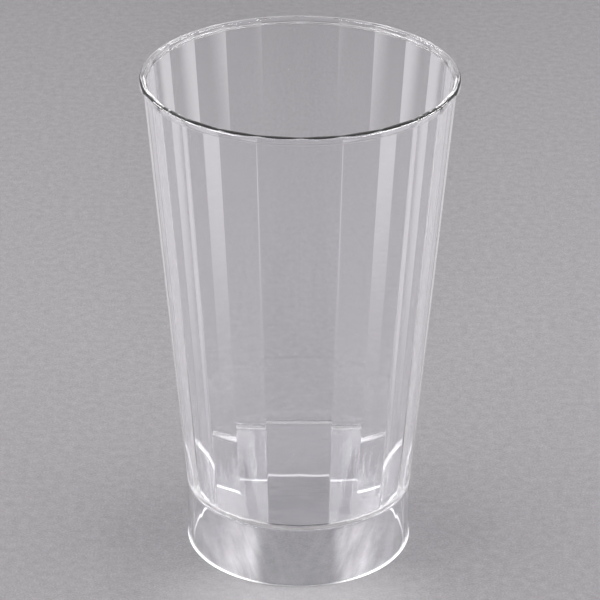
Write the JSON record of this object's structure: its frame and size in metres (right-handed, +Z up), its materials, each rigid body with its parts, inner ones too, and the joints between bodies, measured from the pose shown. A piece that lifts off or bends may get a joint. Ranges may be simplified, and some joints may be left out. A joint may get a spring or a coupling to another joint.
{
  "type": "tumbler",
  "caption": "Tall clear plastic tumbler, round and smooth outside, with flat upright facets inside, a rounded rim bead and a hollow base skirt below a fine step line.",
  "frame": {"origin": "centre of the ring the tumbler stands on, on the resting plane", "axes": "+Z up the tumbler's axis, out through the mouth; an edge between two inside facets faces -Y"},
  "size_m": [0.0794, 0.0794, 0.13],
  "materials": {
    "clear_plastic": "clear, as moulded, polished"
  },
  "bodies": {
    "root": {"tumbler": "clear_plastic"}
  },
  "joints": []
}
